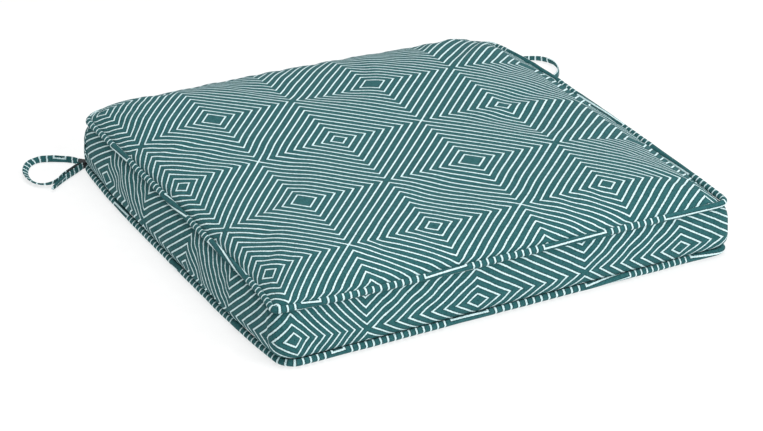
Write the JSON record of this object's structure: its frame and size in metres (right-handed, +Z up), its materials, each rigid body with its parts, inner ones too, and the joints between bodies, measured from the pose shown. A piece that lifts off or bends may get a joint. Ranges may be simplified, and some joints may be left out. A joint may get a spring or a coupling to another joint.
{
  "type": "chair seat pad",
  "caption": "Square box-edge chair seat pad with piped seams, a zipped back, a foam and wadding filling, and a hook-and-loop tie at each back corner.",
  "frame": {"origin": "middle of the flat underside, on the surface that the pad lies on", "axes": "+Z up through the thickness, front edge towards -Y, ties at the back corners towards +Y, +X to the right seen from the front"},
  "size_m": [0.6665, 0.5488, 0.082],
  "materials": {
    "patterned_fabric": "woven teal ground with off-white lines of nested diamonds, matte",
    "piping_fabric": "the same woven fabric cut on the bias, matte",
    "strap_fabric": "the same woven fabric folded and stitched into a narrow strap, matte",
    "filler_cord": "twisted white cotton cord, matte",
    "foam": "cream open-cell polyurethane foam, matte",
    "wadding": "white polyester fibre wadding, soft and matte",
    "zip_tape": "dark teal woven tape, matte",
    "zip_teeth": "dark teal moulded nylon coil, satin",
    "zip_metal": "teal enamelled zinc, worn bright at the edges",
    "hook_and_loop": "black nylon hook-and-loop tape, matte"
  },
  "bodies": {
    "cushion": {"top_panel": "patterned_fabric", "bottom_panel": "patterned_fabric", "boxing_strip": "patterned_fabric", "back_boxing_upper": "patterned_fabric", "back_boxing_lower": "patterned_fabric", "top_welt_cover": "piping_fabric", "top_welt_cord": "filler_cord", "bottom_welt_cover": "piping_fabric", "bottom_welt_cord": "filler_cord", "foam_core": "foam", "wadding_top": "wadding", "wadding_bottom": "wadding", "wadding_side_band": "wadding", "zip_tape_upper": "zip_tape", "zip_tape_lower": "zip_tape", "zip_teeth_upper": "zip_teeth", "zip_teeth_lower": "zip_teeth", "zip_top_stops": "zip_metal", "zip_bottom_stop": "zip_metal"},
    "slider": {"zip_slider": "zip_metal"},
    "pull": {"zip_pull": "zip_metal"},
    "left_tie": {"left_long_strap": "strap_fabric", "left_tab": "strap_fabric", "left_hook_tape": "hook_and_loop", "left_loop_tape": "hook_and_loop"},
    "right_tie": {"right_long_strap": "strap_fabric", "right_tab": "strap_fabric", "right_hook_tape": "hook_and_loop", "right_loop_tape": "hook_and_loop"}
  },
  "joints": [
    {"name": "zip_slide", "type": "slide", "parent": "cushion", "child": "slider", "axis": [1, 0, 0], "range_m": [0, 0.395]},
    {"name": "pull_hinge", "type": "hinge", "parent": "slider", "child": "pull", "pos_m": [-0.198, 0.25614, 0.0325], "axis": [0, 0, 1], "range_deg": [0, 170]},
    {"name": "left_tie_swing", "type": "hinge", "parent": "cushion", "child": "left_tie", "pos_m": [-0.2575, 0.2575, 0.005], "axis": [0, 0, 1], "range_deg": [-90, 25]},
    {"name": "right_tie_swing", "type": "hinge", "parent": "cushion", "child": "right_tie", "pos_m": [0.2575, 0.2575, 0.005], "axis": [0, 0, 1], "range_deg": [-25, 90]}
  ]
}
